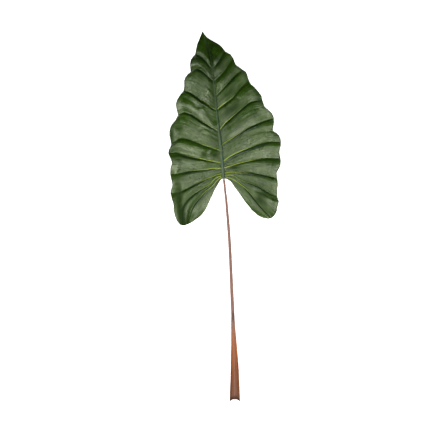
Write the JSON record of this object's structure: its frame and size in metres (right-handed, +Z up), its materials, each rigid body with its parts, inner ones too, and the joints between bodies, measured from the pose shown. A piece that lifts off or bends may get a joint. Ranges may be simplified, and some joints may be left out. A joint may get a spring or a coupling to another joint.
{
  "type": "elephant ear leaf",
  "caption": "Broad arrow-shaped leaf with quilted panels, waved margins and rear lobes, on a slender stem that widens to a channelled sheath; lies flat as cut foliage.",
  "frame": {"origin": "centre of the leaf's plan, on the surface it lies on", "axes": "+X to the right of the leaf seen from above, +Y from the cut end of the stem to the tip, +Z up, away from the surface"},
  "size_m": [0.3152, 1.0364, 0.0338],
  "materials": {
    "blade_green": "waxy green leaf skin, satin, with paler yellow-green side veins",
    "stem_brown": "pinkish brown stem skin, satin, turning orange-brown on the sheath"
  },
  "bodies": {
    "root": {"leaf_blade": "blade_green", "petiole": "stem_brown"}
  },
  "joints": []
}
